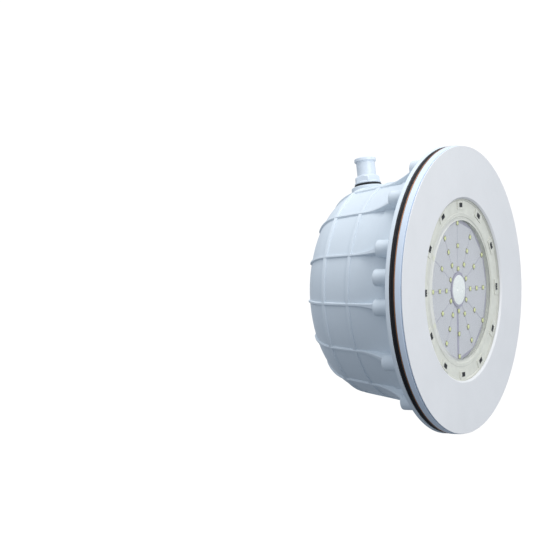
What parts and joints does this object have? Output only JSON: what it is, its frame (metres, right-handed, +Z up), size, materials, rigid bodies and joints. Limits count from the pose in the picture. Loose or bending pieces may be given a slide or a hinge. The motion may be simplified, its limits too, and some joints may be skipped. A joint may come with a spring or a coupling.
{
  "type": "underwater pool light",
  "caption": "Round LED underwater pool light: flat faceplate with a clear lens over an LED board, pulling out of a ribbed wall niche with a gasketed flange and a conduit spigot.",
  "frame": {"origin": "on the lamp axis, in the plane of the niche flange's rear face, which bears on the pool wall", "axes": "+Y into the wall, away from the faceplate; +Z up, towards the conduit spigot; +X to the right seen from the pool"},
  "size_m": [0.28, 0.1309, 0.28],
  "materials": {
    "housing_plastic": "moulded ABS, satin",
    "rubber": "moulded rubber",
    "clamp_bronze": "dull bronze",
    "steel": "stainless",
    "dark_steel": "dark oxide",
    "fitting_plastic": "moulded, glossy",
    "faceplate_plastic": "moulded ABS, semi-gloss",
    "pin_plastic": "nylon",
    "lens_clear": "clear polycarbonate",
    "silicone": "white silicone",
    "lamp_plastic": "white polycarbonate",
    "led_board": "metal-core board, solder mask",
    "frosted": "frosted",
    "aluminium": "satin",
    "circuit": "solder mask",
    "component": "moulded black nylon",
    "lead_red": "silicone insulation",
    "lead_black": "silicone insulation"
  },
  "bodies": {
    "niche": {"niche_housing": "housing_plastic", "rear_gasket": "rubber", "front_gasket": "rubber", "clamp_ring": "clamp_bronze", "clamp_screw_01": "steel", "clamp_screw_02": "steel", "clamp_screw_03": "steel", "clamp_screw_04": "steel", "clamp_screw_05": "steel", "clamp_screw_06": "steel", "clamp_screw_07": "steel", "clamp_screw_08": "steel", "clamp_screw_09": "steel", "clamp_screw_10": "steel", "clamp_screw_11": "steel", "clamp_screw_12": "steel", "clamp_screw_13": "steel", "clamp_screw_14": "steel"},
    "light_unit": {"faceplate": "faceplate_plastic", "faceplate_pin_left": "pin_plastic", "faceplate_pin_right": "pin_plastic", "clip_screw_1": "steel", "clip_screw_2": "steel", "clip_screw_3": "steel", "clip_screw_4": "steel", "lamp_lens": "lens_clear", "lens_gasket": "silicone", "rim_clip_01": "dark_steel", "rim_clip_02": "dark_steel", "rim_clip_03": "dark_steel", "rim_clip_04": "dark_steel", "rim_clip_05": "dark_steel", "rim_clip_06": "dark_steel", "rim_clip_07": "dark_steel", "rim_clip_08": "dark_steel", "rim_clip_09": "dark_steel", "rim_clip_10": "dark_steel", "rim_clip_11": "dark_steel", "rim_clip_12": "dark_steel", "lamp_body": "lamp_plastic", "led_board": "led_board", "centre_cap": "frosted", "heat_spreader": "aluminium", "driver_board": "circuit", "driver_choke": "component", "driver_capacitor": "aluminium", "board_lead_red": "lead_red", "board_lead_black": "lead_black", "gland_body": "component", "gland_washer": "rubber"},
    "lamp_clip_1": {"lamp_clip_1": "steel"},
    "lamp_clip_2": {"lamp_clip_2": "steel"},
    "lamp_clip_3": {"lamp_clip_3": "steel"},
    "lamp_clip_4": {"lamp_clip_4": "steel"},
    "spigot_seal": {"spigot_o_ring": "rubber"},
    "spigot": {"conduit_spigot": "fitting_plastic"},
    "gland_seal": {"gland_seal": "rubber"},
    "gland_nut": {"gland_nut": "component"}
  },
  "joints": [
    {"name": "light_pull", "type": "slide", "parent": "niche", "child": "light_unit", "axis": [0, -1, 0], "range_m": [0, 0.11]},
    {"name": "clip_1_swing", "type": "hinge", "parent": "light_unit", "child": "lamp_clip_1", "pos_m": [0.0729, -0.0025, 0.0729], "axis": [0, 1, 0], "range_deg": [0, 90]},
    {"name": "clip_2_swing", "type": "hinge", "parent": "light_unit", "child": "lamp_clip_2", "pos_m": [0.0729, -0.0025, -0.0729], "axis": [0, 1, 0], "range_deg": [0, 90]},
    {"name": "clip_3_swing", "type": "hinge", "parent": "light_unit", "child": "lamp_clip_3", "pos_m": [-0.0729, -0.0025, -0.0729], "axis": [0, 1, 0], "range_deg": [0, 90]},
    {"name": "clip_4_swing", "type": "hinge", "parent": "light_unit", "child": "lamp_clip_4", "pos_m": [-0.0729, -0.0025, 0.0729], "axis": [0, 1, 0], "range_deg": [0, 90]},
    {"name": "spigot_lift", "type": "slide", "parent": "niche", "child": "spigot_seal", "axis": [0, 0.1736, 0.9848], "range_m": [0, 0.012]},
    {"name": "spigot_turn", "type": "hinge", "parent": "spigot_seal", "child": "spigot", "pos_m": [0, 0.091, 0.09905], "axis": [0, 0.1736, 0.9848], "range_deg": [0, 2885]},
    {"name": "gland_lift", "type": "slide", "parent": "light_unit", "child": "gland_seal", "axis": [0, 1, 0], "range_m": [0, 0.0075]},
    {"name": "gland_turn", "type": "hinge", "parent": "gland_seal", "child": "gland_nut", "pos_m": [0, 0.06, 0], "axis": [0, 1, 0], "range_deg": [0, 1805]}
  ],
  "couplings": [
    {"joint": "spigot_turn", "follows": "spigot_lift", "rad_per_m": 4188.8},
    {"joint": "gland_turn", "follows": "gland_lift", "rad_per_m": 4188.8}
  ]
}
